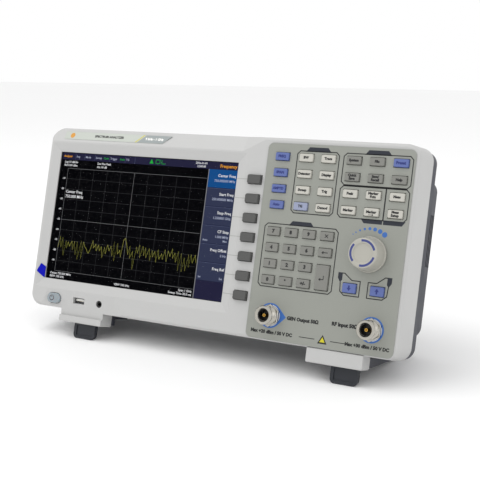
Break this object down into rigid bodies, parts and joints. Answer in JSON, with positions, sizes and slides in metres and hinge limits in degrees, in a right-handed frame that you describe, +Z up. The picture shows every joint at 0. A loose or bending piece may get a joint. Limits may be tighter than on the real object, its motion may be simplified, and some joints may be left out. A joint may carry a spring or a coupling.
{
  "type": "spectrum analyzer",
  "caption": "Bench spectrum analyzer leaning on flip-out feet: wide display with softkeys, keypad, tuning knob and coaxial sockets in front, tapered vented rear shell with a folding handle.",
  "frame": {"origin": "centre of the bounding box's bottom face, on the surface the instrument stands on, with its feet flipped out", "axes": "+X to the right as the user faces the display, +Y from the front to the rear, +Z up; the case itself leans back 15 degrees about X"},
  "size_m": [0.375, 0.153, 0.1924],
  "materials": {
    "bezel_grey": "fine satin texture",
    "shell_dark": "fine texture",
    "panel_sheet": "printed film, satin",
    "window_clear": "clear gloss",
    "lcd_black": "black",
    "film_blue": "thin film",
    "softkey_grey": "matte silicone",
    "key_grey": "matte silicone",
    "key_light": "matte silicone",
    "key_blue": "matte silicone",
    "power_clear": "translucent",
    "knob_ivory": "satin",
    "nickel": "nickel plated",
    "bright_steel": "plated",
    "socket_black": "matte",
    "board_green": "solder mask",
    "foot_slate": "fine texture",
    "handle_black": "fine texture",
    "pad_rubber": "matte"
  },
  "bodies": {
    "case": {"bnc_connectors": "nickel", "case_screws": "nickel", "chassis": "bright_steel", "data_sockets": "bright_steel", "display_window": "window_clear", "encoder": "bright_steel", "fan_frame": "socket_black", "film_tab": "film_blue", "front_bezel": "bezel_grey", "gen_output_connector": "nickel", "headphone_jack": "socket_black", "key_board": "board_green", "key_panel": "panel_sheet", "lcd_module": "lcd_black", "main_board": "board_green", "mains_inlet": "socket_black", "power_supply": "board_green", "rear_cover": "shell_dark", "rear_feet": "pad_rubber", "rf_input_connector": "nickel", "rf_module": "bright_steel", "usb_host_socket": "bright_steel"},
    "softkey_1": {"softkey_1": "softkey_grey"},
    "softkey_2": {"softkey_2": "softkey_grey"},
    "softkey_3": {"softkey_3": "softkey_grey"},
    "softkey_4": {"softkey_4": "softkey_grey"},
    "softkey_5": {"softkey_5": "softkey_grey"},
    "softkey_6": {"softkey_6": "softkey_grey"},
    "softkey_7": {"softkey_7": "softkey_grey"},
    "frequency_key": {"frequency_key": "key_blue"},
    "span_key": {"span_key": "key_blue"},
    "amplitude_key": {"amplitude_key": "key_blue"},
    "auto_key": {"auto_key": "key_blue"},
    "digit_7": {"digit_7": "key_grey"},
    "digit_8": {"digit_8": "key_grey"},
    "digit_9": {"digit_9": "key_grey"},
    "cancel_key": {"cancel_key": "key_grey"},
    "digit_4": {"digit_4": "key_grey"},
    "digit_5": {"digit_5": "key_grey"},
    "digit_6": {"digit_6": "key_grey"},
    "back_key": {"back_key": "key_grey"},
    "digit_1": {"digit_1": "key_grey"},
    "digit_2": {"digit_2": "key_grey"},
    "digit_3": {"digit_3": "key_grey"},
    "enter_key": {"enter_key": "key_grey"},
    "digit_0": {"digit_0": "key_grey"},
    "point_key": {"point_key": "key_grey"},
    "sign_key": {"sign_key": "key_grey"},
    "down_key": {"down_key": "key_blue"},
    "up_key": {"up_key": "key_blue"},
    "control_keys": {"control_keys": "key_light"},
    "system_keys": {"system_keys": "key_grey"},
    "preset_key": {"preset_key": "key_blue"},
    "marker_keys": {"marker_keys": "key_light"},
    "power_key": {"power_key": "power_clear"},
    "knob": {"knob": "knob_ivory"},
    "fan_rotor": {"fan_rotor": "socket_black"},
    "left_foot": {"left_foot": "foot_slate"},
    "right_foot": {"right_foot": "foot_slate"},
    "carrying_handle": {"carrying_handle": "handle_black"}
  },
  "joints": [
    {"name": "softkey_1_press", "type": "slide", "parent": "case", "child": "softkey_1", "axis": [0, 0.9659, -0.2588], "range_m": [0, 0.001], "stiffness_N_per_m": 400},
    {"name": "softkey_2_press", "type": "slide", "parent": "case", "child": "softkey_2", "axis": [0, 0.9659, -0.2588], "range_m": [0, 0.001], "stiffness_N_per_m": 400},
    {"name": "softkey_3_press", "type": "slide", "parent": "case", "child": "softkey_3", "axis": [0, 0.9659, -0.2588], "range_m": [0, 0.001], "stiffness_N_per_m": 400},
    {"name": "softkey_4_press", "type": "slide", "parent": "case", "child": "softkey_4", "axis": [0, 0.9659, -0.2588], "range_m": [0, 0.001], "stiffness_N_per_m": 400},
    {"name": "softkey_5_press", "type": "slide", "parent": "case", "child": "softkey_5", "axis": [0, 0.9659, -0.2588], "range_m": [0, 0.001], "stiffness_N_per_m": 400},
    {"name": "softkey_6_press", "type": "slide", "parent": "case", "child": "softkey_6", "axis": [0, 0.9659, -0.2588], "range_m": [0, 0.001], "stiffness_N_per_m": 400},
    {"name": "softkey_7_press", "type": "slide", "parent": "case", "child": "softkey_7", "axis": [0, 0.9659, -0.2588], "range_m": [0, 0.001], "stiffness_N_per_m": 400},
    {"name": "frequency_key_press", "type": "slide", "parent": "case", "child": "frequency_key", "axis": [0, 0.9659, -0.2588], "range_m": [0, 0.001], "stiffness_N_per_m": 400},
    {"name": "span_key_press", "type": "slide", "parent": "case", "child": "span_key", "axis": [0, 0.9659, -0.2588], "range_m": [0, 0.001], "stiffness_N_per_m": 400},
    {"name": "amplitude_key_press", "type": "slide", "parent": "case", "child": "amplitude_key", "axis": [0, 0.9659, -0.2588], "range_m": [0, 0.001], "stiffness_N_per_m": 400},
    {"name": "auto_key_press", "type": "slide", "parent": "case", "child": "auto_key", "axis": [0, 0.9659, -0.2588], "range_m": [0, 0.001], "stiffness_N_per_m": 400},
    {"name": "digit_7_press", "type": "slide", "parent": "case", "child": "digit_7", "axis": [0, 0.9659, -0.2588], "range_m": [0, 0.001], "stiffness_N_per_m": 400},
    {"name": "digit_8_press", "type": "slide", "parent": "case", "child": "digit_8", "axis": [0, 0.9659, -0.2588], "range_m": [0, 0.001], "stiffness_N_per_m": 400},
    {"name": "digit_9_press", "type": "slide", "parent": "case", "child": "digit_9", "axis": [0, 0.9659, -0.2588], "range_m": [0, 0.001], "stiffness_N_per_m": 400},
    {"name": "cancel_key_press", "type": "slide", "parent": "case", "child": "cancel_key", "axis": [0, 0.9659, -0.2588], "range_m": [0, 0.001], "stiffness_N_per_m": 400},
    {"name": "digit_4_press", "type": "slide", "parent": "case", "child": "digit_4", "axis": [0, 0.9659, -0.2588], "range_m": [0, 0.001], "stiffness_N_per_m": 400},
    {"name": "digit_5_press", "type": "slide", "parent": "case", "child": "digit_5", "axis": [0, 0.9659, -0.2588], "range_m": [0, 0.001], "stiffness_N_per_m": 400},
    {"name": "digit_6_press", "type": "slide", "parent": "case", "child": "digit_6", "axis": [0, 0.9659, -0.2588], "range_m": [0, 0.001], "stiffness_N_per_m": 400},
    {"name": "back_key_press", "type": "slide", "parent": "case", "child": "back_key", "axis": [0, 0.9659, -0.2588], "range_m": [0, 0.001], "stiffness_N_per_m": 400},
    {"name": "digit_1_press", "type": "slide", "parent": "case", "child": "digit_1", "axis": [0, 0.9659, -0.2588], "range_m": [0, 0.001], "stiffness_N_per_m": 400},
    {"name": "digit_2_press", "type": "slide", "parent": "case", "child": "digit_2", "axis": [0, 0.9659, -0.2588], "range_m": [0, 0.001], "stiffness_N_per_m": 400},
    {"name": "digit_3_press", "type": "slide", "parent": "case", "child": "digit_3", "axis": [0, 0.9659, -0.2588], "range_m": [0, 0.001], "stiffness_N_per_m": 400},
    {"name": "enter_key_press", "type": "slide", "parent": "case", "child": "enter_key", "axis": [0, 0.9659, -0.2588], "range_m": [0, 0.001], "stiffness_N_per_m": 400},
    {"name": "digit_0_press", "type": "slide", "parent": "case", "child": "digit_0", "axis": [0, 0.9659, -0.2588], "range_m": [0, 0.001], "stiffness_N_per_m": 400},
    {"name": "point_key_press", "type": "slide", "parent": "case", "child": "point_key", "axis": [0, 0.9659, -0.2588], "range_m": [0, 0.001], "stiffness_N_per_m": 400},
    {"name": "sign_key_press", "type": "slide", "parent": "case", "child": "sign_key", "axis": [0, 0.9659, -0.2588], "range_m": [0, 0.001], "stiffness_N_per_m": 400},
    {"name": "down_key_press", "type": "slide", "parent": "case", "child": "down_key", "axis": [0, 0.9659, -0.2588], "range_m": [0, 0.001], "stiffness_N_per_m": 400},
    {"name": "up_key_press", "type": "slide", "parent": "case", "child": "up_key", "axis": [0, 0.9659, -0.2588], "range_m": [0, 0.001], "stiffness_N_per_m": 400},
    {"name": "control_keys_press", "type": "slide", "parent": "case", "child": "control_keys", "axis": [0, 0.9659, -0.2588], "range_m": [0, 0.001], "stiffness_N_per_m": 400},
    {"name": "system_keys_press", "type": "slide", "parent": "case", "child": "system_keys", "axis": [0, 0.9659, -0.2588], "range_m": [0, 0.001], "stiffness_N_per_m": 400},
    {"name": "preset_key_press", "type": "slide", "parent": "case", "child": "preset_key", "axis": [0, 0.9659, -0.2588], "range_m": [0, 0.001], "stiffness_N_per_m": 400},
    {"name": "marker_keys_press", "type": "slide", "parent": "case", "child": "marker_keys", "axis": [0, 0.9659, -0.2588], "range_m": [0, 0.001], "stiffness_N_per_m": 400},
    {"name": "power_key_press", "type": "slide", "parent": "case", "child": "power_key", "axis": [0, 0.9659, -0.2588], "range_m": [0, 0.001], "stiffness_N_per_m": 400},
    {"name": "knob_turn", "type": "hinge", "parent": "case", "child": "knob", "pos_m": [0.1538, -0.05272, 0.10704], "axis": [0, -0.9659, 0.2588], "continuous": true},
    {"name": "fan_spin", "type": "hinge", "parent": "case", "child": "fan_rotor", "pos_m": [0.1036, 0.0569, 0.11431], "axis": [0, 0.9659, -0.2588], "continuous": true},
    {"name": "left_foot_fold", "type": "hinge", "parent": "case", "child": "left_foot", "pos_m": [-0.1217, -0.05893, 0.0178], "axis": [1, 0, 0], "range_deg": [0, 90]},
    {"name": "right_foot_fold", "type": "hinge", "parent": "case", "child": "right_foot", "pos_m": [0.1415, -0.05893, 0.0178], "axis": [1, 0, 0], "range_deg": [0, 90]},
    {"name": "handle_lift", "type": "hinge", "parent": "case", "child": "carrying_handle", "pos_m": [0, 0.03211, 0.17634], "axis": [1, 0, 0], "range_deg": [0, 95]}
  ]
}
